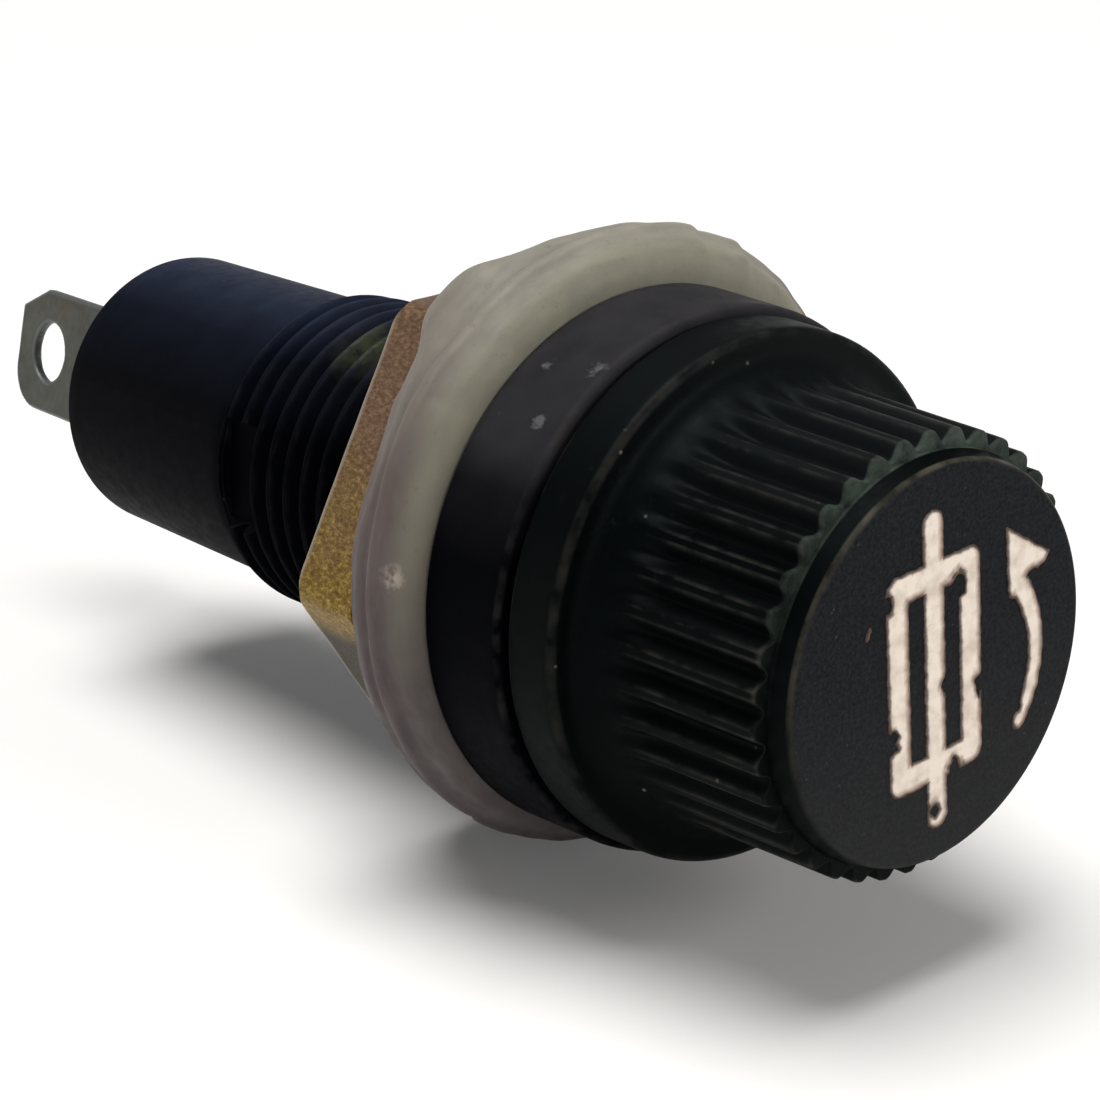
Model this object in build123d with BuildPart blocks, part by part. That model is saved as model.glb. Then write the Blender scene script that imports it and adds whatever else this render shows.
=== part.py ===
"""Panel-mount cartridge fuse holder: screw cap, M12 body, hex nut, solder lugs and a 6 x 30 mm fuse.

The holder's axis is Y. The cap faces -Y, the solder lugs face +Y and +Z is up. The origin is on the
axis, on the rear face of the body flange, which is the face that seats on the panel. Millimetres.
"""

from build123d import *
import os

os.makedirs("parts", exist_ok=True)

# Stations along Y
CAP_FACE = -12.6
BOSS_ROOT = -11.8
CAP_FLOOR = -10.7
SKIRT_FRONT = -5.3
SKIRT_BACK = -3.42
NECK_FRONT = -5.0
FLANGE_FRONT = -3.25
WASHER_BACK = 2.85
NUT_FRONT = 2.9
NUT_THICKNESS = 3.0
THREAD_START = 0.8
SLEEVE_BACK = 3.0
SHELL_BACK = 16.0
THREAD_END = 16.8
FLAT_FRONT = 17.2
REAR_WALL = 25.7
BARREL_BACK = 27.5
LUG_TIP = 38.3
SIDE_LUG_TIP = 30.6

# Outside radii
FACE_R = 6.1
KNURL_FRONT_R = 6.8
KNURL_BACK_R = 7.05
SKIRT_R = 8.5
FLANGE_FRONT_R = 8.87
FLANGE_R = 9.0
THREAD_CREST_R = 5.9
THREAD_ROOT_R = 5.35
BARREL_R = 5.45

# Bores and the pieces that run in them
FUSE_BORE_R = 3.4
SHELL_R = 4.3
SHELL_THREAD_R = 4.12
SHELL_BORE_R = 3.92
SLEEVE_CREST_R = 3.85
SLEEVE_ROOT_R = 3.6
SLEEVE_BORE_R = 3.36
CLIP_R = 3.32
CLIP_BORE_R = 3.08
RIVET_R = 0.8
RIVET_HEAD_R = 1.3
RIVET_BORE_R = 0.45
FIT = 0.02

# The cartridge fuse, 6 x 30 mm
FUSE_FRONT = -9.5
FUSE_LENGTH = 30.0
FUSE_CAP_R = 3.05
FUSE_CAP_LENGTH = 6.0
GLASS_R = 2.8
GLASS_WALL = 0.4
FUSE_CAP_WALL = 0.23
ELEMENT_R = 0.12

# Threads, knurl and hardware
PITCH = 1.0
CAP_PITCH = 1.5
CAP_THREAD_START = -2.9
CAP_THREAD_TURNS = 2
RIBS = 38
RIB_HEIGHT = 0.36
NUT_FLATS = 17.0
NUT_CORNER_ANGLE = 3.0
NUT_BORE_R = 5.97
WASHER_BORE_R = 6.4
WASHER_OFFSET = (0.1, 0.35)
WASHER_STEPS = ((0.04, 9.95), (0.95, 10.4), (2.25, 10.05))

# Markings on the cap's face
MARK_DEPTH = 0.12
MARK_STROKE = 0.95
MARK_TILT = 5.5
MARK_CENTRE = (-0.3, -0.1)
LINK_WIDTH = 4.0
LINK_LENGTH = 6.9
LEAD_LENGTH = 10.1
ARROW_CENTRE = (0.57, -0.64)
ARROW_R = 3.61

# Flats, lugs and contacts
FLAT_OFFSET = 4.4
TERMINAL_ANGLE = 19.0
KEY_ANGLE = 177.0
KEY_OFFSET = 4.95
KEY_SPAN = (14.6, 16.6)
KEY_WIDTH = 3.6
SIDE_LUG_WIDTH = 4.2
SIDE_LUG_THICKNESS = 0.5
SIDE_LUG_HOLE_R = 0.95
LUG_ANGLE = 78.0
LUG_OFFSET = 1.6
LUG_WIDTH = 5.14
LUG_THICKNESS = 0.5
LUG_HOLE_R = 1.25
LUG_HOLE_STATION = 35.9
FOOT_THICKNESS = 0.45
SPRING_R = 2.5
WIRE_R = 0.22
PLUNGER_R = 3.33

FUSE_BACK = FUSE_FRONT + FUSE_LENGTH
CAP_THREAD_END = CAP_THREAD_START + CAP_THREAD_TURNS * CAP_PITCH
NUT_BACK = NUT_FRONT + NUT_THICKNESS


def turned(outline, mode=Mode.ADD):
    """Turns a closed outline of (radius, station) points about the holder's axis."""
    with BuildSketch(Plane.XY) as section:
        with BuildLine():
            Polyline(*outline, close=True)
        make_face()
    revolve(section.sketch, axis=Axis.Y, mode=mode)


def ring(inner, outer, front, back, mode=Mode.ADD):
    """A plain ring or disc between two stations."""
    turned([(inner, front), (outer, front), (outer, back), (inner, back)], mode)


def thread_points(root, crest, start, end, pitch):
    """The (radius, station) points of a thread's section, one crest for each pitch."""
    points = []
    for turn in range(int((end - start) / pitch)):
        station = start + turn * pitch
        points += [(root, station + 0.08 * pitch), (crest, station + 0.44 * pitch)]
        points += [(crest, station + 0.56 * pitch), (root, station + 0.92 * pitch)]
    return points


def across(station):
    """The plane square to the axis at a station, with local X along +X and local Y along +Z."""
    return Plane(origin=(0, station, 0), x_dir=(1, 0, 0), z_dir=(0, -1, 0))


def facing(angle, distance):
    """The plane that touches a cylinder about the axis at an angle from +X towards +Z.

    Its local X runs along the holder's axis, towards the lugs, and its normal points outwards.
    """
    outward = Vector(1, 0, 0).rotate(Axis.Y, -angle)
    return Plane(origin=outward * distance, x_dir=(0, 1, 0), z_dir=outward)


def slab(angle, distance, depth, front, back, width, mode=Mode.ADD):
    """A block standing on a plane that faces outwards at an angle, between two stations."""
    with BuildSketch(facing(angle, distance)) as outline:
        with Locations(((front + back) / 2, 0)):
            Rectangle(back - front, width)
    extrude(outline.sketch, amount=depth, mode=mode)


# The moulded body: neck, flange, threaded shank and plain barrel with a flat for the side terminal
with BuildPart() as holder_body:
    turned(
        [
            (SHELL_R + FIT, NECK_FRONT),
            (5.6, NECK_FRONT),
            (5.6, FLANGE_FRONT),
            (FLANGE_FRONT_R, FLANGE_FRONT),
            (FLANGE_R, FLANGE_FRONT + 0.25),
            (FLANGE_R, 0),
            (THREAD_ROOT_R, 0),
        ]
        + thread_points(THREAD_ROOT_R, THREAD_CREST_R, THREAD_START, THREAD_END, PITCH)
        + [
            (BARREL_R, THREAD_END),
            (BARREL_R, BARREL_BACK),
            (RIVET_R + FIT, BARREL_BACK),
            (RIVET_R + FIT, REAR_WALL),
            (FUSE_BORE_R, REAR_WALL),
            (FUSE_BORE_R, SHELL_BACK + FIT),
            (SHELL_R + FIT, SHELL_BACK + FIT),
        ]
    )
    slab(TERMINAL_ANGLE, FLAT_OFFSET, 3, FLAT_FRONT, BARREL_BACK + 1, 12, Mode.SUBTRACT)
    slab(KEY_ANGLE, KEY_OFFSET, 3, *KEY_SPAN, KEY_WIDTH, Mode.SUBTRACT)
    slab(TERMINAL_ANGLE, 3.9, 3, 14.8, SHELL_BACK + FIT, SIDE_LUG_WIDTH + 0.2, Mode.SUBTRACT)
    slab(TERMINAL_ANGLE, FLAT_OFFSET, 3, SHELL_BACK, FLAT_FRONT + 1, SIDE_LUG_WIDTH + 0.2, Mode.SUBTRACT)

# The brass ferrule pressed into the body, threaded inside for the cap
with BuildPart() as contact_shell:
    thread = thread_points(SHELL_THREAD_R, SHELL_BORE_R, CAP_THREAD_START, CAP_THREAD_END, CAP_PITCH)
    turned(
        [(SHELL_R, NECK_FRONT + 0.1), (SHELL_R, SHELL_BACK)]
        + [(SHELL_THREAD_R, SHELL_BACK)]
        + thread[::-1]
        + [(SHELL_THREAD_R, NECK_FRONT + 0.1)]
    )

# The side solder terminal: a foot on the ferrule and a strip along the flat
with BuildPart() as side_terminal:
    slab(TERMINAL_ANGLE, FLAT_OFFSET + FIT, SIDE_LUG_THICKNESS, 14.9, SIDE_LUG_TIP, SIDE_LUG_WIDTH)
    fillet(
        side_terminal.edges().filter_by(lambda edge: edge.length < 1).group_by(Axis.Y)[-1],
        radius=SIDE_LUG_WIDTH / 2 - 0.3,
    )
    slab(TERMINAL_ANGLE, 3.95, 0.6, 14.9, SHELL_BACK - 0.1, SIDE_LUG_WIDTH)
    ring(0, SHELL_R, 10, 20, Mode.SUBTRACT)
    with BuildSketch(facing(TERMINAL_ANGLE, 3)) as side_hole:
        with Locations((SIDE_LUG_TIP - 1.95, 0)):
            Circle(SIDE_LUG_HOLE_R)
    extrude(side_hole.sketch, amount=5, mode=Mode.SUBTRACT)

# The rear solder lug: a foot riveted to the rear wall, bent up into a blade with a wire hole
with BuildPart() as rear_lug:
    blade_face = LUG_ANGLE + 90
    slab(
        blade_face,
        LUG_OFFSET - LUG_THICKNESS / 2,
        LUG_THICKNESS,
        BARREL_BACK + FIT,
        LUG_TIP,
        LUG_WIDTH,
    )
    fillet(
        rear_lug.edges().filter_by(lambda edge: edge.length < 1).group_by(Axis.Y)[-1],
        radius=1.7,
    )
    slab(
        blade_face,
        -2.3,
        2.3 + LUG_OFFSET,
        BARREL_BACK + FIT,
        BARREL_BACK + FIT + FOOT_THICKNESS,
        LUG_WIDTH,
    )
    ring(0, RIVET_R + FIT, BARREL_BACK, BARREL_BACK + 1, Mode.SUBTRACT)
    with BuildSketch(facing(blade_face, 0)) as wire_hole:
        with Locations((LUG_HOLE_STATION, 0)):
            Circle(LUG_HOLE_R)
    extrude(wire_hole.sketch, amount=5, mode=Mode.SUBTRACT)

# The hollow rivet that clamps the spring cup, the rear wall and the rear lug
with BuildPart() as rear_rivet:
    foot_back = BARREL_BACK + 2 * FIT + FOOT_THICKNESS
    turned(
        [
            (RIVET_BORE_R, REAR_WALL - 0.9),
            (RIVET_HEAD_R + 0.6, REAR_WALL - 0.9),
            (RIVET_HEAD_R + 0.6, REAR_WALL - 0.5),
            (RIVET_R, REAR_WALL - 0.5),
            (RIVET_R, foot_back),
            (RIVET_HEAD_R, foot_back),
            (RIVET_HEAD_R - 0.25, foot_back + 0.35),
            (RIVET_BORE_R, foot_back + 0.35),
        ]
    )

# The cup that seats the spring against the rear wall
with BuildPart() as spring_cup:
    turned(
        [
            (RIVET_R + FIT, REAR_WALL - 0.48),
            (3.0, REAR_WALL - 0.48),
            (3.0, REAR_WALL - 1.3),
            (FUSE_BORE_R - FIT, REAR_WALL - 1.3),
            (FUSE_BORE_R - FIT, REAR_WALL - FIT),
            (RIVET_R + FIT, REAR_WALL - FIT),
        ]
    )

# The spring plunger that presses on the fuse's rear cap
with BuildPart() as contact_plunger:
    turned(
        [
            (0, FUSE_BACK + 0.35),
            (2.2, FUSE_BACK + 0.03),
            (PLUNGER_R, FUSE_BACK + 0.03),
            (PLUNGER_R, FUSE_BACK + 2.4),
            (PLUNGER_R - 0.3, FUSE_BACK + 2.4),
            (PLUNGER_R - 0.3, FUSE_BACK + 0.85),
            (1.5, FUSE_BACK + 0.85),
            (1.3, FUSE_BACK + 1.9),
            (0, FUSE_BACK + 1.9),
        ]
    )

# The compression spring between the plunger and the cup
SPRING_FRONT = FUSE_BACK + 0.87 + WIRE_R
SPRING_HEIGHT = REAR_WALL - 0.5 - WIRE_R - SPRING_FRONT
with BuildPart() as contact_spring:
    with BuildLine() as coil:
        Helix(SPRING_HEIGHT / 4, SPRING_HEIGHT, SPRING_R, center=(0, SPRING_FRONT, 0), direction=(0, 1, 0))
    with BuildSketch(Plane(origin=coil.line @ 0, z_dir=coil.line % 0)):
        Circle(WIRE_R)
    sweep(path=coil.line, is_frenet=True)

# The screw cap: face boss, ribbed grip and skirt over the body's neck
with BuildPart() as cap_knob:
    turned(
        [
            (0, CAP_FACE),
            (FACE_R, CAP_FACE),
            (FACE_R + 0.2, BOSS_ROOT),
            (KNURL_FRONT_R - RIB_HEIGHT, BOSS_ROOT),
            (KNURL_BACK_R - RIB_HEIGHT, SKIRT_FRONT - 0.9),
            (KNURL_BACK_R + 0.15, SKIRT_FRONT - 0.25),
            (KNURL_BACK_R + 0.7, SKIRT_FRONT),
            (SKIRT_R, SKIRT_FRONT),
            (SKIRT_R + 0.1, SKIRT_BACK),
            (5.75, SKIRT_BACK),
            (5.75, NECK_FRONT - 0.2),
            (4.14, NECK_FRONT - 0.2),
            (4.14, CAP_FLOOR),
            (0.87, CAP_FLOOR),
            (0.87, CAP_FLOOR - 1.0),
            (0, CAP_FLOOR - 1.0),
        ]
    )
    with BuildSketch(across(BOSS_ROOT)) as ribs:
        with PolarLocations(KNURL_FRONT_R - RIB_HEIGHT, RIBS):
            Ellipse(RIB_HEIGHT, 0.36)
    extrude(ribs.sketch, amount=SKIRT_FRONT - 0.3 - BOSS_ROOT, dir=(0, 1, 0), taper=-1.8)

# The filled markings on the cap: a fuse symbol and an arrow for the opening direction
with BuildPart() as cap_marking:
    with BuildSketch(across(CAP_FACE)) as symbol:
        with Locations(MARK_CENTRE):
            Rectangle(LINK_WIDTH, LINK_LENGTH, rotation=MARK_TILT)
            Rectangle(
                LINK_WIDTH - 2 * MARK_STROKE,
                LINK_LENGTH - 2 * MARK_STROKE,
                rotation=MARK_TILT,
                mode=Mode.SUBTRACT,
            )
            Rectangle(MARK_STROKE, LEAD_LENGTH, rotation=MARK_TILT)
    with BuildSketch(across(CAP_FACE)) as arrow:
        with BuildLine():
            CenterArc(ARROW_CENTRE, ARROW_R, -33, 76)
            offset(amount=0.28)
        make_face()
        with BuildLine():
            Polyline((2.86, 1.53), (4.44, 2.48), (2.53, 3.59), close=True)
        make_face()
    extrude(symbol.sketch, amount=MARK_DEPTH, dir=(0, -1, 0))
    extrude(arrow.sketch, amount=MARK_DEPTH, dir=(0, -1, 0))

# The threaded sleeve that carries the clip and screws into the ferrule
with BuildPart() as cap_sleeve:
    thread = thread_points(SLEEVE_ROOT_R, SLEEVE_CREST_R, CAP_THREAD_START, CAP_THREAD_END, CAP_PITCH)
    turned(
        [
            (0.87, CAP_FLOOR + FIT),
            (4.12, CAP_FLOOR + FIT),
            (4.12, NECK_FRONT - 0.4),
            (SLEEVE_ROOT_R, NECK_FRONT - 0.1),
        ]
        + thread
        + [
            (SLEEVE_ROOT_R, SLEEVE_BACK),
            (SLEEVE_BORE_R, SLEEVE_BACK),
            (SLEEVE_BORE_R, CAP_FLOOR + 0.4),
            (0.87, CAP_FLOOR + 0.4),
        ]
    )

# The slit spring clip that grips the fuse's front cap
with BuildPart() as fuse_clip:
    clip_floor = CAP_FLOOR + 0.42
    turned(
        [
            (0.87, clip_floor),
            (CLIP_R, clip_floor),
            (CLIP_R, -3.9),
            (CLIP_BORE_R, -3.9),
            (CLIP_BORE_R, clip_floor + 0.3),
            (0.87, clip_floor + 0.3),
        ]
    )
    for slit_angle in (45, 135):
        with BuildSketch(facing(slit_angle, -5)) as slit:
            with Locations((-5.5, 0)):
                Rectangle(6.0, 0.7)
        extrude(slit.sketch, amount=10, mode=Mode.SUBTRACT)

# The rivet that holds the clip and sleeve in the cap
with BuildPart() as cap_rivet:
    head_front = CAP_FLOOR + 0.74
    turned(
        [
            (0, CAP_FLOOR - 0.95),
            (0.85, CAP_FLOOR - 0.95),
            (0.85, head_front),
            (1.7, head_front),
            (1.4, head_front + 0.4),
            (0, head_front + 0.4),
        ]
    )


def fuse_cap(closed_end, open_end):
    """A fuse end cap: a thin cup over the glass, from its closed end to its mouth."""
    floor = closed_end + FUSE_CAP_WALL * (1 if open_end > closed_end else -1)
    inner = FUSE_CAP_R - FUSE_CAP_WALL
    turned(
        [
            (0, closed_end),
            (FUSE_CAP_R, closed_end),
            (FUSE_CAP_R, open_end),
            (inner, open_end),
            (inner, floor),
            (0, floor),
        ]
    )


with BuildPart() as fuse_cap_front:
    fuse_cap(FUSE_FRONT, FUSE_FRONT + FUSE_CAP_LENGTH)

with BuildPart() as fuse_cap_rear:
    fuse_cap(FUSE_BACK, FUSE_BACK - FUSE_CAP_LENGTH)

with BuildPart() as fuse_tube:
    ring(GLASS_R - GLASS_WALL, GLASS_R, FUSE_FRONT + 0.25, FUSE_BACK - 0.25)

# The solder that joins the element to both end caps
with BuildPart() as fuse_solder:
    for near, far in ((FUSE_FRONT + 0.25, FUSE_FRONT + 1.1), (FUSE_BACK - 0.25, FUSE_BACK - 1.1)):
        turned([(ELEMENT_R + 0.01, near), (2.35, near), (1.6, far), (ELEMENT_R + 0.01, far)])

with BuildPart() as fuse_element:
    ring(0, ELEMENT_R, FUSE_FRONT + 0.25, FUSE_BACK - 0.25)

# The soft moulded washer behind the panel, in three steps, pushed a little off centre
with BuildPart() as soft_washer:
    step_ends = [step[0] for step in WASHER_STEPS[1:]] + [WASHER_BACK]
    for (front, radius), back in zip(WASHER_STEPS, step_ends):
        with BuildSketch(across(front)) as step_outline:
            with Locations(WASHER_OFFSET):
                Circle(radius)
                Circle(WASHER_BORE_R, mode=Mode.SUBTRACT)
        extrude(step_outline.sketch, amount=back - front, dir=(0, 1, 0))

# The brass hex nut
with BuildPart() as hex_nut:
    with BuildSketch(across(NUT_FRONT)) as hexagon:
        RegularPolygon(NUT_FLATS / 2, 6, major_radius=False, rotation=NUT_CORNER_ANGLE)
    extrude(hexagon.sketch, amount=NUT_THICKNESS, dir=(0, 1, 0))
    ring(0, NUT_BORE_R, NUT_FRONT - 1, NUT_BACK + 1, Mode.SUBTRACT)

pieces = {
    "holder_body": holder_body,
    "contact_shell": contact_shell,
    "side_terminal": side_terminal,
    "rear_lug": rear_lug,
    "rear_rivet": rear_rivet,
    "spring_cup": spring_cup,
    "contact_plunger": contact_plunger,
    "contact_spring": contact_spring,
    "cap_knob": cap_knob,
    "cap_marking": cap_marking,
    "cap_sleeve": cap_sleeve,
    "fuse_clip": fuse_clip,
    "cap_rivet": cap_rivet,
    "fuse_cap_front": fuse_cap_front,
    "fuse_cap_rear": fuse_cap_rear,
    "fuse_tube": fuse_tube,
    "fuse_solder": fuse_solder,
    "fuse_element": fuse_element,
    "soft_washer": soft_washer,
    "hex_nut": hex_nut,
}
for label, piece in pieces.items():
    piece.part.label = label
    export_step(piece.part, f"parts/{label}.step")
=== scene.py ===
"""Looks of the panel-mount cartridge fuse holder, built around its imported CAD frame.

Metres in Blender; the helpers below take millimetres. The axis is Y, the cap faces -Y and +Z is up.
An angle about the axis is counted from +X towards +Z.
"""
from math import acos, atan, ceil, cos, degrees, hypot, pi, radians, sin, sqrt

import bmesh
import bpy
import numpy as np
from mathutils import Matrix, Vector, noise


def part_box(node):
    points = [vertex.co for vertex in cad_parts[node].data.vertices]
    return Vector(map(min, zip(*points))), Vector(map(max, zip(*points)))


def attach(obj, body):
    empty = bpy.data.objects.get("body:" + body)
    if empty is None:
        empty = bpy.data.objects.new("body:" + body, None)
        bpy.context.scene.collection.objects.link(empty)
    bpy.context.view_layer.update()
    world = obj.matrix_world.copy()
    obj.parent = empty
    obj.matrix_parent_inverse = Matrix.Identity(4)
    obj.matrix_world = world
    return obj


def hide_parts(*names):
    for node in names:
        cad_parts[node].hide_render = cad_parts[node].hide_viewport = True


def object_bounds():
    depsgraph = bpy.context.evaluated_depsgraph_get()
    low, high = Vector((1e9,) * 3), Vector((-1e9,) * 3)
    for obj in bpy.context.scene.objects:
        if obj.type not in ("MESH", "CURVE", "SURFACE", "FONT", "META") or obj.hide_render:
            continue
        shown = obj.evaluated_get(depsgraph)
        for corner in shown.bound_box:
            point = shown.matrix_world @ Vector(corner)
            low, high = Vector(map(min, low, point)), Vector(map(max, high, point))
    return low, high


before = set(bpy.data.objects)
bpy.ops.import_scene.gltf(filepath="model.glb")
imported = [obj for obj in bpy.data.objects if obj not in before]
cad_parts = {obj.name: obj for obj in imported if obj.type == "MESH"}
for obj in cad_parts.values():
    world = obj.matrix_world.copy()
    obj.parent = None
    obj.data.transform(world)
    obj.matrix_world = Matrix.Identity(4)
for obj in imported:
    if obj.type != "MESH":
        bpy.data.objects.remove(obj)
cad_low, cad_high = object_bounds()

MM = 0.001
TAU = 2 * pi


def node_box(node):
    """The lowest and highest corners of a CAD node, in millimetres."""
    low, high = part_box(node)
    return [v / MM for v in low], [v / MM for v in high]


def span(node):
    """The front, the back and the reach towards +X of a CAD node, in millimetres."""
    low, high = node_box(node)
    return low[1], high[1], high[0]


CAP_FACE, CAP_BACK, CAP_R = span("cap_knob")
NECK_FRONT, BARREL_BACK, FLANGE_R = span("holder_body")
NUT_FRONT, NUT_BACK, _ = span("hex_nut")

# ---- mesh helpers


def smoothstep(low, high, value):
    """A smooth rise from 0 at low to 1 at high."""
    t = np.clip((value - low) / (high - low), 0, 1)
    return t * t * (3 - 2 * t)


def wobble(x, y, z, scale, seed):
    """Smooth noise between about -1 and 1 at a point, with features about as large as scale."""
    return noise.noise(Vector((x / scale + seed, y / scale - seed, z / scale + 2 * seed)))


def ring_wobble(angles, reach, height, scale, seed):
    """The same noise at every angle of a ring whose radius is reach."""
    return np.array([wobble(reach * cos(a), height, reach * sin(a), scale, seed) for a in angles])


def turned_from(angles, direction):
    """How far angles in radians are from a direction in degrees, between half a turn either way."""
    return (angles - radians(direction) + pi) % TAU - pi


def angles_for(count, start=0.0, extra=()):
    """Angles round the axis in radians, evenly spaced, with some extra ones in degrees."""
    even = start + np.arange(count) * TAU / count
    more = np.radians(np.array(extra, dtype=float)) % TAU
    return np.unique(np.round(np.concatenate([even % TAU, more]), 6))


def rounded(points, steps=5):
    """An outline of (radius, station) points whose corners are rounded where a third value gives a fillet."""
    result = []
    count = len(points)
    for i, point in enumerate(points):
        here = np.array(point[:2], dtype=float)
        fillet = point[2] if len(point) > 2 else 0
        if not fillet:
            result.append(here)
            continue
        before = np.array(points[i - 1][:2], dtype=float) - here
        after = np.array(points[(i + 1) % count][:2], dtype=float) - here
        reach_before = min(fillet, 0.48 * np.linalg.norm(before))
        reach_after = min(fillet, 0.48 * np.linalg.norm(after))
        start = here + before / np.linalg.norm(before) * reach_before
        end = here + after / np.linalg.norm(after) * reach_after
        for k in range(steps + 1):
            t = k / steps
            result.append((1 - t) ** 2 * start + 2 * t * (1 - t) * here + t * t * end)
    return np.array(result)


def refined(outline, longest, closed=True):
    """The outline with every stretch cut so that no piece is longer than a length."""
    result = []
    count = len(outline)
    for i in range(count if closed else count - 1):
        a, b = outline[i], outline[(i + 1) % count]
        pieces = max(1, ceil(np.linalg.norm(b - a) / longest))
        result += [a + (b - a) * k / pieces for k in range(pieces)]
    if not closed:
        result.append(outline[-1])
    return np.array(result)


def rows_of(items, name, width, kind=float):
    """One property of all of a mesh's points or edges, a row each."""
    values = np.empty(len(items) * width, dtype=kind)
    items.foreach_get(name, values)
    return values.reshape(-1, width)


def store_edges(mesh):
    """Stores on each point how far it stands out from its neighbours: 0 on a flat, 1 on a sharp edge."""
    places = rows_of(mesh.vertices, "co", 3)
    normals = rows_of(mesh.vertex_normals, "vector", 3)
    ends = rows_of(mesh.edges, "vertices", 2, int)
    standing = np.zeros(len(places))
    count = np.zeros(len(places))
    for a, b in (ends.T, ends[:, ::-1].T):
        away = places[a] - places[b]
        away /= np.maximum(np.linalg.norm(away, axis=1), 1e-9)[:, None]
        np.add.at(standing, a, np.sum(away * normals[a], axis=1))
        np.add.at(count, a, 1)
    edge = np.clip(3.0 * standing / np.maximum(count, 1), 0, 1)
    mesh.attributes.new("edge", "FLOAT", "POINT").data.foreach_set("value", edge)


def new_object(name, verts, faces, sharp):
    """An object from millimetre vertices, smooth but for the edges sharper than an angle in degrees."""
    mesh = bpy.data.meshes.new(name)
    bm = bmesh.new()
    made = [bm.verts.new([c * MM for c in v]) for v in verts]
    for face in faces:
        bm.faces.new([made[i] for i in face])
    bmesh.ops.recalc_face_normals(bm, faces=bm.faces)
    limit = radians(sharp)
    for face in bm.faces:
        face.smooth = True
    for edge in bm.edges:
        if len(edge.link_faces) == 2 and edge.calc_face_angle() > limit:
            edge.smooth = False
    bm.to_mesh(mesh)
    bm.free()
    store_edges(mesh)
    obj = bpy.data.objects.new(name, mesh)
    bpy.context.scene.collection.objects.link(obj)
    return obj


def turned(name, outline, angles, warp, sharp):
    """A closed solid from an outline of (radius, station) turned about the axis.

    warp(radius, station, angle) gives the real radius and station. An outline that starts and ends
    on the axis is closed there by poles; any other is a ring.
    """
    on_axis = outline[0][0] < 1e-6
    rows = outline[1:-1] if on_axis else outline
    n = len(angles)
    verts = []
    for radius, station in rows:
        r = np.full(n, radius)
        y = np.full(n, station)
        if warp:
            r, y = warp(r, y, angles)
        verts += list(zip(r * np.cos(angles), y, r * np.sin(angles)))
    faces = []
    bands = len(rows) - 1 if on_axis else len(rows)
    for k in range(bands):
        a, b = k * n, (k + 1) % len(rows) * n
        faces += [(a + i, a + (i + 1) % n, b + (i + 1) % n, b + i) for i in range(n)]
    if on_axis:
        for row, pole in ((0, outline[0]), (len(rows) - 1, outline[-1])):
            verts.append((0, pole[1], 0))
            centre = len(verts) - 1
            faces += [(row * n + i, row * n + (i + 1) % n, centre) for i in range(n)]
    return new_object(name, verts, faces, sharp)


# From a plate's point to the place whose depth tells whether the point lies on the rim with painted shade.
LEE = (0.13, -0.09)


def contour_plate(name, depth_inside, size, cell, lift, place, sharp):
    """A closed plate from a field that is positive inside its outline.

    The outline is followed through the grid's cells. lift(u, v, inside) gives the heights of the lower
    and upper skin, and place(u, v, height) puts a point in space. Two attributes tell a material how
    far a point is inside the outline, and how far the place beside it is.
    """
    (u0, u1), (v0, v1) = size
    us = np.arange(u0, u1 + cell, cell)
    vs = np.arange(v0, v1 + cell, cell)
    field = np.array([[depth_inside(u, v) for v in vs] for u in us])
    points, index, polygons = [], {}, []

    def point(key, u, v):
        if key not in index:
            index[key] = len(points)
            points.append((u, v))
        return index[key]

    for i in range(len(us) - 1):
        for j in range(len(vs) - 1):
            corners = [(i, j), (i + 1, j), (i + 1, j + 1), (i, j + 1)]
            values = [field[a][b] for a, b in corners]
            if max(values) <= 0:
                continue
            polygon = []
            for k in range(4):
                (a, b), (c, d) = corners[k], corners[(k + 1) % 4]
                f, g = values[k], values[(k + 1) % 4]
                if f > 0:
                    polygon.append(point((a, b), us[a], vs[b]))
                if (f > 0) != (g > 0):
                    t = min(max(f / (f - g), 0.02), 0.98)
                    u = us[a] + t * (us[c] - us[a])
                    v = vs[b] + t * (vs[d] - vs[b])
                    polygon.append(point(tuple(sorted([(a, b), (c, d)])), u, v))
            if len(polygon) > 2:
                polygons.append(polygon)
    count = len(points)
    verts = []
    for side in (0, 1):
        for u, v in points:
            heights = lift(u, v, max(depth_inside(u, v), 0.0))
            verts.append(place(u, v, heights[side]))
    faces = [tuple(reversed(p)) for p in polygons] + [tuple(i + count for i in p) for p in polygons]
    edges = [(p[k], p[(k + 1) % len(p)]) for p in polygons for k in range(len(p))]
    known = set(edges)
    faces += [(a, b, b + count, a + count) for a, b in edges if (b, a) not in known]
    plate = new_object(name, verts, faces, sharp)
    for attribute, (du, dv) in (("inside", (0.0, 0.0)), ("lee", LEE)):
        stored = plate.data.attributes.new(attribute, "FLOAT", "POINT")
        stored.data.foreach_set("value", [max(depth_inside(u + du, v + dv), 0.0) for u, v in points] * 2)
    return plate


def piece(obj, body, material, node):
    """Gives a piece its body and material, and hides the CAD node it stands for."""
    obj.data.materials.append(material)
    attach(obj, body)
    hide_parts(node)


# ---- materials


def fill_ramp(node, stops):
    """Gives a ramp node its (position, value or colour) stops."""
    elements = node.color_ramp.elements
    while len(elements) < len(stops):
        elements.new(0.5)
    for element, (position, value) in zip(elements, stops):
        element.position = position
        element.color = (value, value, value, 1) if isinstance(value, (int, float)) else (*value, 1)


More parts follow.
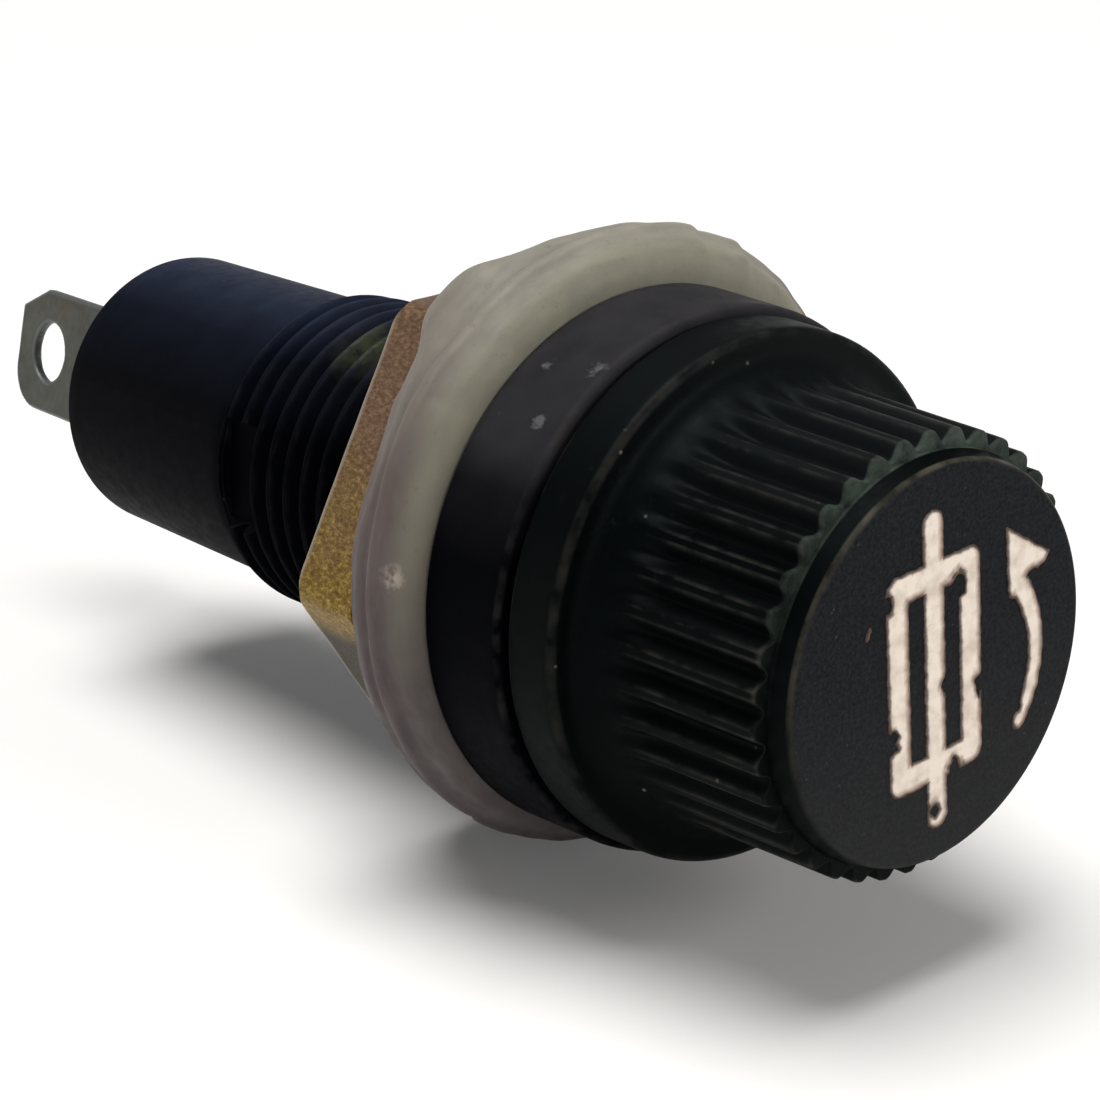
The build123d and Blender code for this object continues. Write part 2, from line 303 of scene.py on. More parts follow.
class Shader:
    """A Principled material with short calls for the procedural nodes it uses."""

    def __init__(self, name, **constants):
        self.material = bpy.data.materials.new(name)
        self.material.use_nodes = True
        self.tree = self.material.node_tree
        self.bsdf = self.tree.nodes["Principled BSDF"]
        for socket, value in constants.items():
            self.bsdf.inputs[socket.replace("_", " ")].default_value = value
        coords = self.tree.nodes.new("ShaderNodeTexCoord")
        self.coords = coords.outputs["Object"]

    def link(self, a, b):
        self.tree.links.new(a, b)

    def stretched(self, x, y, z):
        """Object coordinates scaled along each axis."""
        node = self.tree.nodes.new("ShaderNodeMapping")
        self.link(self.coords, node.inputs["Vector"])
        node.inputs["Scale"].default_value = (x, y, z)
        return node.outputs["Vector"]

    def noise(self, scale, detail=4, roughness=0.55, vector=None):
        """Noise whose features are scale millimetres across."""
        node = self.tree.nodes.new("ShaderNodeTexNoise")
        node.inputs["Scale"].default_value = 1 / (scale * MM)
        node.inputs["Detail"].default_value = detail
        node.inputs["Roughness"].default_value = roughness
        self.link(vector or self.coords, node.inputs["Vector"])
        return node.outputs["Fac"]

    def cells(self, scale):
        """Distance to the nearest of scattered points, scale millimetres apart."""
        node = self.tree.nodes.new("ShaderNodeTexVoronoi")
        node.inputs["Scale"].default_value = 1 / (scale * MM)
        self.link(self.coords, node.inputs["Vector"])
        return node.outputs["Distance"]

    def ramp(self, source, *stops):
        """A ramp of (position, value or colour) stops."""
        node = self.tree.nodes.new("ShaderNodeValToRGB")
        fill_ramp(node, stops)
        self.link(source, node.inputs["Fac"])
        return node.outputs["Color"]

    def mix(self, amount, a, b):
        """Colour a turned into colour b by an amount."""
        node = self.tree.nodes.new("ShaderNodeMix")
        node.data_type = "RGBA"
        for socket, value in ((node.inputs[0], amount), (node.inputs[6], a), (node.inputs[7], b)):
            if isinstance(value, (int, float)):
                socket.default_value = value
            elif isinstance(value, tuple):
                socket.default_value = (*value, 1)
            else:
                self.link(value, socket)
        return node.outputs[2]

    def math(self, operation, a, b):
        """One arithmetic step on two values."""
        node = self.tree.nodes.new("ShaderNodeMath")
        node.operation = operation
        for socket, value in zip(node.inputs, (a, b)):
            if isinstance(value, (int, float)):
                socket.default_value = value
            else:
                self.link(value, socket)
        return node.outputs[0]

    def times(self, a, b):
        """The product of two values."""
        return self.math("MULTIPLY", a, b)

    def axes(self):
        """The object coordinates along the axis and upwards, in metres."""
        node = self.tree.nodes.new("ShaderNodeSeparateXYZ")
        self.link(self.coords, node.inputs[0])
        return node.outputs["Y"], node.outputs["Z"]

    def over(self, source, low, high):
        """A coordinate turned into 0 to 1 between two places in millimetres."""
        return self.math("DIVIDE", self.math("SUBTRACT", source, low * MM), (high - low) * MM)

    def near(self, place, reach):
        """Distance from a place in millimetres, 1 at the reach."""
        node = self.tree.nodes.new("ShaderNodeVectorMath")
        node.operation = "DISTANCE"
        self.link(self.coords, node.inputs[0])
        node.inputs[1].default_value = [c * MM for c in place]
        return self.math("DIVIDE", node.outputs["Value"], reach * MM)

    def attribute(self, name):
        """A value stored on the mesh's points."""
        node = self.tree.nodes.new("ShaderNodeAttribute")
        node.attribute_name = name
        return node.outputs["Fac"]

    def bump(self, height, strength, distance):
        """Surface relief, distance in millimetres."""
        node = self.tree.nodes.new("ShaderNodeBump")
        node.inputs["Strength"].default_value = strength
        node.inputs["Distance"].default_value = distance * MM
        self.link(height, node.inputs["Height"])
        previous = self.bsdf.inputs["Normal"].links
        if previous:
            self.link(previous[0].from_socket, node.inputs["Normal"])
        self.link(node.outputs["Normal"], self.bsdf.inputs["Normal"])

    def colour(self, source):
        """Gives the surface a colour, which paint then covers."""
        self.tone = source
        self.link(source, self.bsdf.inputs["Base Color"])

    def paint(self, amount, colour, strength=1):
        """Lays a colour over the surface by an amount."""
        if strength != 1:
            amount = self.times(amount, strength)
        self.colour(self.mix(amount, self.tone, colour))

    def roughness(self, source):
        self.link(source, self.bsdf.inputs["Roughness"])


def black_moulding(name, base, specular, sheen, dust):
    """Satin black thermoset: cloudy sheen, fine grain, scuffs and a few specks of dust."""
    s = Shader(name, IOR=1.5, Specular_IOR_Level=specular, Specular_Tint=(*sheen, 1))
    s.colour(s.mix(s.noise(3, 3), base, tuple(2 * c for c in base)))
    scuffs = s.ramp(s.noise(0.5, 8, 0.75), (0.58, 0), (0.72, 1))
    patches = s.ramp(s.noise(4, 2), (0.45, 0), (0.62, 1))
    worn = s.times(scuffs, patches)
    s.paint(worn, (0.024, 0.024, 0.028), 0.25 * dust)
    specks = s.ramp(s.cells(0.9), (0.04, 1), (0.09, 0))
    chosen = s.ramp(s.noise(1.6, 2), (0.57, 0), (0.63, 1))
    speck = s.times(specks, chosen)
    s.paint(speck, (0.2, 0.18, 0.16), 0.6 * dust)
    rough = s.ramp(s.noise(0.5, 6, 0.7), (0.3, 0.4), (0.7, 0.58))
    s.rough = s.mix(worn, rough, (0.7, 0.7, 0.7))
    s.roughness(s.rough)
    s.bump(s.noise(0.1, 3), 0.16, 0.01)
    s.bump(s.noise(1.4, 2), 0.14, 0.03)
    return s


def cap_material():
    """The cap: black moulding, a dusty face lightened by painted light, painted light on the top, a painted
    highlight on the face's rim, and grey-green dust with a painted highlight on the front ends of the ribs.
    """
    s = black_moulding("black_cap", (0.0004, 0.0008, 0.0009), 0.035, (0.85, 1, 1), 0.8)
    y, z = s.axes()
    face = s.ramp(s.over(y, CAP_FACE, CAP_FACE + 0.4), (0.05, 1), (0.3, 0))
    fine = s.noise(0.13, 6, 0.8)
    # Painted light: the face's grain is lighter than the sides, standing for the light from the front, and
    # lighter again towards the bottom; the flecks below are dust.
    grain = s.ramp(fine, (0.4, (0.003, 0.0034, 0.0048)), (0.62, (0.0145, 0.015, 0.0162)))
    lighter_below = s.ramp(s.over(z, -6, 1), (0, 0.45), (1, 0))
    grain = s.mix(lighter_below, grain, (0.026, 0.0262, 0.027))
    s.paint(face, grain)
    flecks = s.ramp(s.cells(0.42), (0.05, 1), (0.12, 0))
    flecks = s.times(flecks, s.ramp(s.noise(1.1, 3), (0.52, 0), (0.66, 0.5)))
    s.paint(s.times(flecks, face), (0.075, 0.075, 0.07))
    # Painted light: the upper side is lighter, standing for the light from above, partly dust; less of it on
    # the boss and by the shoulder.
    top_light_and_dust = s.ramp(s.over(z, 4, 9), (0, 0), (1, 1))
    behind_boss = s.ramp(s.over(y, CAP_FACE + 0.7, CAP_FACE + 0.9), (0, 0), (1, 1))
    before_shoulder = s.ramp(s.over(y, CAP_BACK - 4.3, CAP_BACK - 2.9), (0, 1), (1, 0.32))
    top_light_and_dust = s.times(s.times(top_light_and_dust, behind_boss), before_shoulder)
    s.paint(top_light_and_dust, (0.011, 0.013, 0.0138))
    # Painted highlight: a pale line along the face's rounded rim, strongest at the top.
    rim = s.over(y, CAP_FACE + 0.01, CAP_FACE + 0.21)
    rim = s.ramp(rim, (0, 0), (0.25, 1), (0.7, 1), (1, 0))
    rim = s.times(rim, s.ramp(s.over(z, -2, 5.5), (0, 0.1), (1, 1)))
    rim = s.times(rim, s.ramp(s.noise(1.2, 4), (0.38, 0.2), (0.58, 1)))
    s.paint(rim, (0.07, 0.066, 0.05), 0.8)
    # Grey-green dust and a painted highlight on the front ends of the ribs, mostly on the upper side.
    ends = s.over(y, CAP_FACE + 0.66, CAP_FACE + 1)
    ends = s.ramp(ends, (0, 0), (0.12, 1), (0.75, 1), (0.98, 0))
    upper = s.ramp(s.over(z, -1, 6.5), (0, 0), (0.35, 0.1), (1, 1))
    patchy = s.ramp(s.noise(0.9, 5, 0.7), (0.36, 0.25), (0.6, 1))
    dust_and_highlight = s.times(s.times(ends, upper), patchy)
    s.paint(dust_and_highlight, (0.055, 0.072, 0.06), 0.85)
    edge = s.ramp(s.attribute("edge"), (0.1, 0), (0.45, 1))
    edge = s.times(edge, s.ramp(s.noise(0.8, 4), (0.38, 0.05), (0.62, 1)))
    s.paint(edge, (0.05, 0.046, 0.04), 0.6)
    return s.material


def body_material():
    """The body: black moulding with painted light and a blue painted sheen on top, scuffs, and a painted
    olive reflection on the thread above the nut.
    """
    s = black_moulding("black_body", (0.0005, 0.0006, 0.0012), 0.015, (0.78, 0.84, 1), 0.6)
    y, z = s.axes()
    # Painted light and sheen: the upper side is lighter, and bluer towards the back, standing for the light
    # from above; partly dust.
    top_light_and_dust = s.ramp(s.over(z, 2.2, 9.5), (0, 0), (0.3, 0.22), (0.45, 0.8), (1, 1))
    top_light_and_dust = s.times(top_light_and_dust, s.ramp(s.noise(1.5, 5), (0.32, 0.72), (0.62, 1)))
    painted_sheen = s.ramp(s.over(y, 5, 16), (0, (0.03, 0.029, 0.032)), (1, (0.022, 0.029, 0.054)))
    s.paint(top_light_and_dust, painted_sheen)
    # Painted reflection: an olive patch on the thread beside the nut.
    thread_reflection = s.ramp(s.near(THREAD_REFLECTION, 2.2), (0, 1), (0.75, 0))
    thread_reflection = s.times(thread_reflection, s.ramp(s.noise(0.7, 5, 0.7), (0.36, 0.1), (0.58, 1)))
    s.paint(thread_reflection, (0.092, 0.1, 0.048), 0.8)
    torn = s.noise(0.3, 5, 0.7, s.stretched(1, 0.5, 1))
    torn = s.times(s.math("SUBTRACT", torn, 0.5), 4)
    for direction, station, reach in RIM_SCUFFS:
        turn = radians(direction)
        place = (RIM_R * cos(turn), station, RIM_R * sin(turn))
        scuff = s.ramp(s.math("ADD", s.near(place, reach), torn), (0.1, 0.75), (0.75, 0))
        s.paint(scuff, (0.11, 0.11, 0.12))
    edge = s.ramp(s.attribute("edge"), (0.12, 0), (0.5, 1))
    edge = s.times(edge, s.ramp(s.noise(0.8, 4), (0.42, 0), (0.64, 0.8)))
    on_thread = s.ramp(s.over(y, 0.6, 17.4), (0, 0), (0.02, 1), (0.97, 1), (1, 0))
    edge = s.times(edge, s.math("SUBTRACT", 1, s.times(on_thread, 0.8)))
    s.roughness(s.mix(s.times(on_thread, 0.8), s.rough, (0.78, 0.78, 0.78)))
    s.paint(edge, (0.06, 0.054, 0.048), 0.6)
    return s.material


def white_paint():
    """Warm white filled paint, a little stained, with dark pin holes, a dark brown edge all round, and
    painted shade in brown along its lower right rim.
    """
    s = Shader("white_fill", Roughness=0.6, Specular_IOR_Level=0.3)
    stain = s.ramp(s.noise(0.7, 5), (0.34, (0.52, 0.44, 0.37)), (0.56, (0.68, 0.6, 0.52)))
    pits = s.ramp(s.noise(0.15, 5, 0.7), (0.27, 1), (0.35, 0))
    s.colour(stain)
    s.paint(pits, (0.14, 0.11, 0.09), 0.6)
    # Painted shade: brown along the lower right side of the fill's rim.
    shade = s.ramp(s.attribute("lee"), (0, 0.95), (0.08, 0.6), (0.2, 0))
    s.paint(shade, (0.13, 0.062, 0.034))
    rim = s.ramp(s.attribute("inside"), (0, 1), (0.06, 0.8), (0.11, 0))
    s.paint(rim, (0.03, 0.016, 0.01))
    s.bump(s.noise(0.18, 4), 0.5, 0.03)
    return s.material


def worn_brass():
    """Sawn brass: golden and speckled below, browner and pinker above, with painted shade on the lowest
    flats.
    """
    s = Shader("brass", Metallic=0.8, Specular_IOR_Level=0.2)
    y, z = s.axes()
    saw = s.noise(0.11, 6, 0.8, s.stretched(1, 0.45, 0.8))
    gold = (0.36, (0.09, 0.048, 0.009)), (0.51, (0.205, 0.128, 0.026)), (0.66, (0.48, 0.34, 0.1))
    brown = (0.38, (0.11, 0.06, 0.034)), (0.52, (0.19, 0.115, 0.066)), (0.66, (0.32, 0.21, 0.13))
    uneven = s.times(s.math("SUBTRACT", s.noise(2.2, 3), 0.5), 0.5)
    height = s.math("ADD", s.over(z, -3, 6.5), uneven)
    s.colour(s.ramp(saw, *gold))
    s.paint(s.ramp(height, (0.35, 0), (0.8, 1)), s.ramp(saw, *brown))
    # Painted shade: the lowest flats are darkened.
    lower = s.ramp(s.over(z, -5, 0.2), (0, 1), (0.55, 1), (0.72, 0))
    shaded_flats_colour = s.ramp(s.noise(0.5, 4), (0.3, (0.007, 0.005, 0.005)), (0.7, (0.014, 0.01, 0.011)))
    s.paint(lower, shaded_flats_colour, 0.9)
    rear = s.over(y, NUT_BACK - NUT_CHAMFER, NUT_BACK)
    rear = s.ramp(rear, (0.3, 0), (0.8, 0.75), (0.96, 0.6), (0.995, 0))
    s.paint(rear, (0.42, 0.38, 0.32))
    s.roughness(s.ramp(saw, (0.3, 0.42), (0.7, 0.6)))
    s.bump(saw, 0.5, 0.04)
    return s.material


def rolled_brass():
    """Thin drawn brass with fine turning lines and faint tarnish."""
    s = Shader("inner_brass", Metallic=1)
    colour = (0.6, 0.43, 0.17)
    lines = s.noise(0.25, 3, 0.5, s.stretched(0.06, 1, 0.06))
    tarnish = s.ramp(s.noise(1.6, 4), (0.4, 0), (0.68, 0.7))
    shade = s.mix(lines, tuple(0.75 * c for c in colour), colour)
    s.colour(shade)
    s.paint(tarnish, tuple(0.5 * c for c in colour))
    s.roughness(s.ramp(lines, (0.3, 0.22), (0.7, 0.4)))
    s.bump(lines, 0.2, 0.01)
    return s.material


def tinned_brass():
    """Dull tin over brass, grey-green with brown where the brass shows and a paler edge."""
    s = Shader("tinned_brass", Metallic=0.7)
    s.colour(s.mix(s.noise(1.3, 5), (0.038, 0.041, 0.033), (0.095, 0.096, 0.08)))
    brown = s.ramp(s.noise(1.7, 4), (0.5, 0), (0.68, 0.7))
    s.paint(brown, (0.07, 0.055, 0.032))
    edge = s.ramp(s.attribute("edge"), (0.12, 0), (0.5, 1))
    s.paint(edge, (0.13, 0.14, 0.14))
    s.roughness(s.ramp(s.noise(0.35, 5, 0.7), (0.3, 0.4), (0.7, 0.62)))
    s.bump(s.noise(0.3, 4), 0.3, 0.02)
    return s.material


def soft_polymer():
    """Milky soft polymer: waxy, with painted light in beige above and painted shade in lilac grey below,
    greener beside the flange.
    """
    s = Shader("soft_polymer", IOR=1.46, Subsurface_Weight=0.2, Subsurface_Scale=0.001)
    s.bsdf.inputs["Subsurface Radius"].default_value = (1, 0.8, 0.6)
    y, z = s.axes()
    # Painted light and shade: by height, pale beige above and darker lilac grey below.
    uneven = s.times(s.math("SUBTRACT", s.noise(4, 3), 0.5), 0.3)
    height = s.math("ADD", s.over(z, -9.5, 10.5), uneven)
    lilac = (0.02, (0.04, 0.03, 0.035)), (0.4, (0.056, 0.038, 0.04)), (0.68, (0.083, 0.058, 0.053))
    beige = (0.97, (0.245, 0.232, 0.192))
    s.colour(s.ramp(height, *lilac, beige))
    near_flange = s.ramp(s.over(y, 0, 1.1), (0.2, 1), (0.9, 0))
    near_flange = s.times(near_flange, s.ramp(s.over(z, -3, 4), (0, 0.1), (1, 0.8)))
    s.paint(near_flange, (0.185, 0.181, 0.13))
    streak = s.ramp(s.noise(1.1, 5, 0.6, s.stretched(0.8, 3, 0.8)), (0.38, 0), (0.66, 0.35))
    s.paint(streak, (0.12, 0.108, 0.098))
    stain = s.ramp(s.noise(0.5, 6, 0.7), (0.6, 0), (0.74, 0.55))
    s.paint(stain, (0.08, 0.062, 0.054))
    nick = s.ramp(s.near(WASHER_NICK, 0.75), (0, 1), (0.8, 0))
    nick = s.times(nick, s.ramp(s.noise(0.3, 4), (0.42, 0), (0.6, 1)))
    s.paint(nick, (0.47, 0.39, 0.33))
    s.roughness(s.ramp(s.noise(0.8, 4), (0.3, 0.58), (0.7, 0.78)))
    s.bump(s.noise(0.45, 4), 0.35, 0.05)
    s.bump(s.noise(2.2, 2), 0.4, 0.12)
    return s.material


def clear_glass():
    """Clear fuse glass with faint dust."""
    s = Shader("fuse_glass", IOR=1.5, Transmission_Weight=1)
    s.bsdf.inputs["Base Color"].default_value = (0.93, 0.96, 0.95, 1)
    s.roughness(s.ramp(s.noise(0.9, 4), (0.45, 0.02), (0.75, 0.12)))
    return s.material


def bright_metal(name, colour, low=0.18, high=0.36):
    """Plated or drawn metal with fine blemishes."""
    s = Shader(name, Metallic=1)
    s.colour(s.mix(s.noise(0.9, 5), tuple(0.72 * c for c in colour), colour))
    s.roughness(s.ramp(s.noise(0.4, 5, 0.7), (0.3, low), (0.7, high)))
    s.bump(s.noise(0.25, 4), 0.2, 0.01)
    return s.material


NUT_CHAMFER = 0.32
# Where the painted reflection on the thread lies, and where the washer's wear shows.
THREAD_REFLECTION = (-2.4, 11.6, 5.2)
WASHER_NICK = (-9.95, 0.45, 1.4)
RIM_R = FLANGE_R - 0.05
# Degrees round the axis, station and reach of each scuff on the flange's rim.
RIM_SCUFFS = ((120.8, -2.75, 0.36), (123.6, -0.94, 0.28), (135.5, -2.24, 0.34))
BLACK_BODY = body_material()
BLACK_CAP = cap_material()
WHITE = white_paint()
BRASS = worn_brass()
INNER_BRASS = rolled_brass()
TINNED = tinned_brass()
POLYMER = soft_polymer()
GLASS = clear_glass()
NICKEL = bright_metal("nickel_brass", (0.66, 0.65, 0.61))
STEEL = bright_metal("spring_steel", (0.5, 0.5, 0.51))
SOLDER = bright_metal("solder", (0.52, 0.52, 0.51), 0.35, 0.6)
WIRE = bright_metal("fuse_wire", (0.7, 0.66, 0.58))

# ---- cap

SKIRT_R = CAP_R - 0.1
BOSS_DEPTH = 0.8
SKIRT_DEPTH = 1.87
RIB_COUNT = 38
RIB_FRONT_R = 6.82
RIB_BACK_R = 7.05
RIB_HEIGHT = 0.4
FACE_R = 6.1
BOSS_ROOT_R = 6.3
HOLLOW_R = 5.75
HOLLOW_DEPTH = 1.78
SOCKET_R = 4.16
SOCKET_DEPTH = 7.2


def rib_shape(phase):
    """Height of a rib across its pitch, 0 in the valley and 1 on the crown."""
    across = np.abs((phase % 1.0) - 0.5) * 2
    return smoothstep(1.0, 0.16, across)


def make_cap():
    """The cap: boss, ribbed grip, shoulder and skirt, hollow behind."""
    root = CAP_FACE + BOSS_DEPTH
    shoulder = CAP_BACK - SKIRT_DEPTH
    outline = [
        (0, CAP_FACE),
        (FACE_R, CAP_FACE, 0.16),
        (BOSS_ROOT_R, root),
        (RIB_FRONT_R, root, 0.12),
        (RIB_BACK_R, shoulder - 1.0, 1.2),
        (RIB_BACK_R + 0.5, shoulder + 0.04, 0.8),
        (SKIRT_R, shoulder, 0.3),
        (CAP_R, CAP_BACK, 0.16),
        (HOLLOW_R, CAP_BACK, 0.1),
        (HOLLOW_R, CAP_BACK - HOLLOW_DEPTH),
        (SOCKET_R, CAP_BACK - HOLLOW_DEPTH),
        (SOCKET_R, CAP_BACK - SOCKET_DEPTH),
        (0, CAP_BACK - SOCKET_DEPTH),
    ]

    def ribs(r, y, angle):
        station = y[0]
        if not (r[0] > BOSS_ROOT_R + 0.01 and root - 0.01 < station < shoulder + 0.05):
            return r, y
        phase = angle / TAU * RIB_COUNT
        uneven = 0.12 * ring_wobble(angle, 1, station / 9, 0.12, 3)
        fade = 1 - smoothstep(shoulder - 2.6, shoulder - 0.25, y)
        on_front = smoothstep(BOSS_ROOT_R, RIB_FRONT_R, r) if station < root + 0.01 else 1.0
        depth = (RIB_HEIGHT * (1 - rib_shape(phase)) - 0.03 * uneven) * fade * on_front
        return np.maximum(r - depth, BOSS_ROOT_R + 0.02), y

    outline = refined(rounded(outline, 6), 0.2, closed=False)
    cap = turned("cap_knob_look", outline, angles_for(RIB_COUNT * 18), ribs, sharp=32)
    piece(cap, "cap", BLACK_CAP, "cap_knob")


def segment_depth(u, v, a, b, half_width):
    """How far a point is inside a round-ended stroke from a to b."""
    (ax, ay), (bx, by) = a, b
    dx, dy = bx - ax, by - ay
    t = ((u - ax) * dx + (v - ay) * dy) / (dx * dx + dy * dy)
    t = min(max(t, 0), 1)
    return half_width - hypot(u - ax - t * dx, v - ay - t * dy)


def polygon_depth(u, v, corners):
    """How far a point is inside a polygon, negative outside."""
    nearest, inside = 1e9, False
    for k in range(len(corners)):
        (ax, ay), (bx, by) = corners[k - 1], corners[k]
        nearest = min(nearest, -segment_depth(u, v, (ax, ay), (bx, by), 0))
        if (ay > v) != (by > v) and u < ax + (v - ay) / (by - ay) * (bx - ax):
            inside = not inside
    return nearest if inside else -nearest


# The marking lies in the face's own axes: u to the right, v up. The symbol is tilted about its centre.
MARK_TILT = radians(5.5)
MARK_CENTRE = (-0.3, -0.1)
STROKE = 0.47
LINK_HALF = (1.52, 2.98)
LEAD_END = 4.58
ARC_CENTRE = (0.57, -0.64)
ARC_R = 3.61
ARC_ANGLES = (-33, 40)
ARC_STEPS = 8
ARROW_NOTCH = (3.5, -2.15, 0.13)
ARROW_HEAD = ((2.53, 3.62), (4.47, 2.52), (4.32, 2.26), (3.62, 2.12), (3.02, 1.42), (2.82, 1.5))
STRAY_PAINT = ((-3.24, 1.62), (-3.14, 1.88), 0.07)
# Place and size of each chip in the symbol.
CHIPS = (
    (-1.95, 2.7, 0.22),
    (1.05, 2.42, 0.26),
    (1.98, -1.0, 0.26),
    (0.46, -0.55, 0.17),
    (-1.9, -1.6, 0.28),
    (0.75, -3.38, 0.26),
    (-0.12, -4.4, 0.15),
)


def on_arc(k):
    """One of the places along the arrow's shaft."""
    t = radians(ARC_ANGLES[0] + (ARC_ANGLES[1] - ARC_ANGLES[0]) * k / ARC_STEPS)
    return ARC_CENTRE[0] + ARC_R * cos(t), ARC_CENTRE[1] + ARC_R * sin(t)


ARROW_PATH = [on_arc(k) for k in range(ARC_STEPS + 1)]


def marking_depth(u, v):
    """How far inside the filled marking a point of the face is, with ragged edges and chips."""
    du, dv = u - MARK_CENTRE[0], v - MARK_CENTRE[1]
    p = du * cos(MARK_TILT) + dv * sin(MARK_TILT)
    q = dv * cos(MARK_TILT) - du * sin(MARK_TILT)
    a, b = LINK_HALF
    corners = [(-a, -b), (a, -b), (a, b), (-a, b)]
    depth = max(segment_depth(p, q, corners[k - 1], corners[k], STROKE) for k in range(4))
    depth = max(depth, segment_depth(p, q, (0, -LEAD_END), (0, LEAD_END), STROKE * 0.94))
    for cu, cv, size in CHIPS:
        chip = hypot(p - cu, (q - cv) * 0.8) - size * (1 + 0.5 * wobble(u, 0, v, 0.22, 2))
        depth = min(depth, chip)
    notch = hypot(u - ARROW_NOTCH[0], v - ARROW_NOTCH[1]) - ARROW_NOTCH[2]
    for k in range(ARC_STEPS):
        shaft = segment_depth(u, v, ARROW_PATH[k], ARROW_PATH[k + 1], 0.3 + 0.012 * k)
        depth = max(depth, min(shaft, notch))
    depth = max(depth, polygon_depth(u, v, ARROW_HEAD) + 0.06)
    depth = max(depth, segment_depth(u, v, *STRAY_PAINT))
    return depth + 0.045 * wobble(u, 0, v, 0.28, 5) + 0.03 * wobble(u, 0, v, 0.11, 9)


def make_marking():
    """The white fuse symbol and opening arrow on the face, as a thin uneven fill."""

    def lift(u, v, inside):
        crown = 0.07 + 0.03 * wobble(u, 0, v, 0.5, 4)
        return -0.02, 0.012 + crown * float(smoothstep(0, 0.14, inside))

    def place(u, v, height):
        return u, CAP_FACE - height, v

    size = ((-3.6, 5.0), (-5.4, 5.4))
    marking = contour_plate("cap_marking_look", marking_depth, size, 0.06, lift, place, 60)
    piece(marking, "cap", WHITE, "cap_marking")


# ---- body

FLANGE_FRONT = -3.25
NECK_R = 5.6
FERRULE_BORE_R = 4.32
FUSE_BORE_R = 3.4
FUSE_BORE_SPAN = (16.02, 25.7)
RIVET_HOLE_R = 0.82
BARREL_R = 5.45
THREAD_ROOT = 5.35
THREAD_CREST = 5.9
THREAD_SPAN = (0.8, 16.8)
SHANK_SPAN = (0.5, 17.6)
PITCH = 1.0
FLAT_ANGLE = 19.0
FLAT_OFFSET = 4.4
FLAT_FRONT = 17.2
FLAT_HALF = degrees(acos(FLAT_OFFSET / BARREL_R))
POCKET_FRONT = 14.8
POCKET_HALF = 2.2
KEY_ANGLE = 177.0
KEY_OFFSET = 4.95
KEY_SPAN = (14.6, 16.6)
KEY_HALF = 1.8
PARTING_ANGLE = 163.0
# Degrees round the axis, station, size and depth of each dent in the flange's rim.
RIM_DENTS = (
    (118.5, -1.15, 0.5, 0.16),
    (120.8, -2.7, 0.26, 0.07),
    (136, -2.3, 0.22, 0.06),
    (96, -1.9, 0.3, 0.05),
)


def cut_flat(radii, angle, direction, offset, half_width=BARREL_R):
    """Radii cut down to a flat that faces a direction in degrees, within a half width."""
    away = turned_from(angle, direction)
    facing_it = (np.abs(away) < radians(60)) & (np.abs(np.tan(away)) * offset < half_width)
    return np.where(facing_it, np.minimum(radii, offset / np.maximum(np.cos(away), 0.3)), radii)


def shank_radii(station, angle):
    """The outside of the shank and barrel at one station: thread, flat, pocket, key and parting line."""
    start, end = THREAD_SPAN
    base = BARREL_R if station > end else THREAD_ROOT
    phase = (station / PITCH + angle / TAU) % 1.0
    ridge = smoothstep(0.46, 0.08, np.abs(phase - 0.5))
    fade = float(smoothstep(start - 0.6, start + 0.4, station) * smoothstep(end + 0.05, end - 0.75, station))
    radii = base + (THREAD_CREST - base) * ridge * fade
    if station > end:
        for turn in (0, 180):
            away = turned_from(angle, PARTING_ANGLE + turn)
            radii = radii + 0.012 * np.exp(-((away / radians(1.3)) ** 2))
    if station > FLAT_FRONT:
        radii = cut_flat(radii, angle, FLAT_ANGLE, FLAT_OFFSET)
    elif station > POCKET_FRONT:
        radii = cut_flat(radii, angle, FLAT_ANGLE, FLAT_OFFSET - 0.01, POCKET_HALF)
    if KEY_SPAN[0] < station < KEY_SPAN[1]:
        radii = cut_flat(radii, angle, KEY_ANGLE, KEY_OFFSET, KEY_HALF)
    return radii


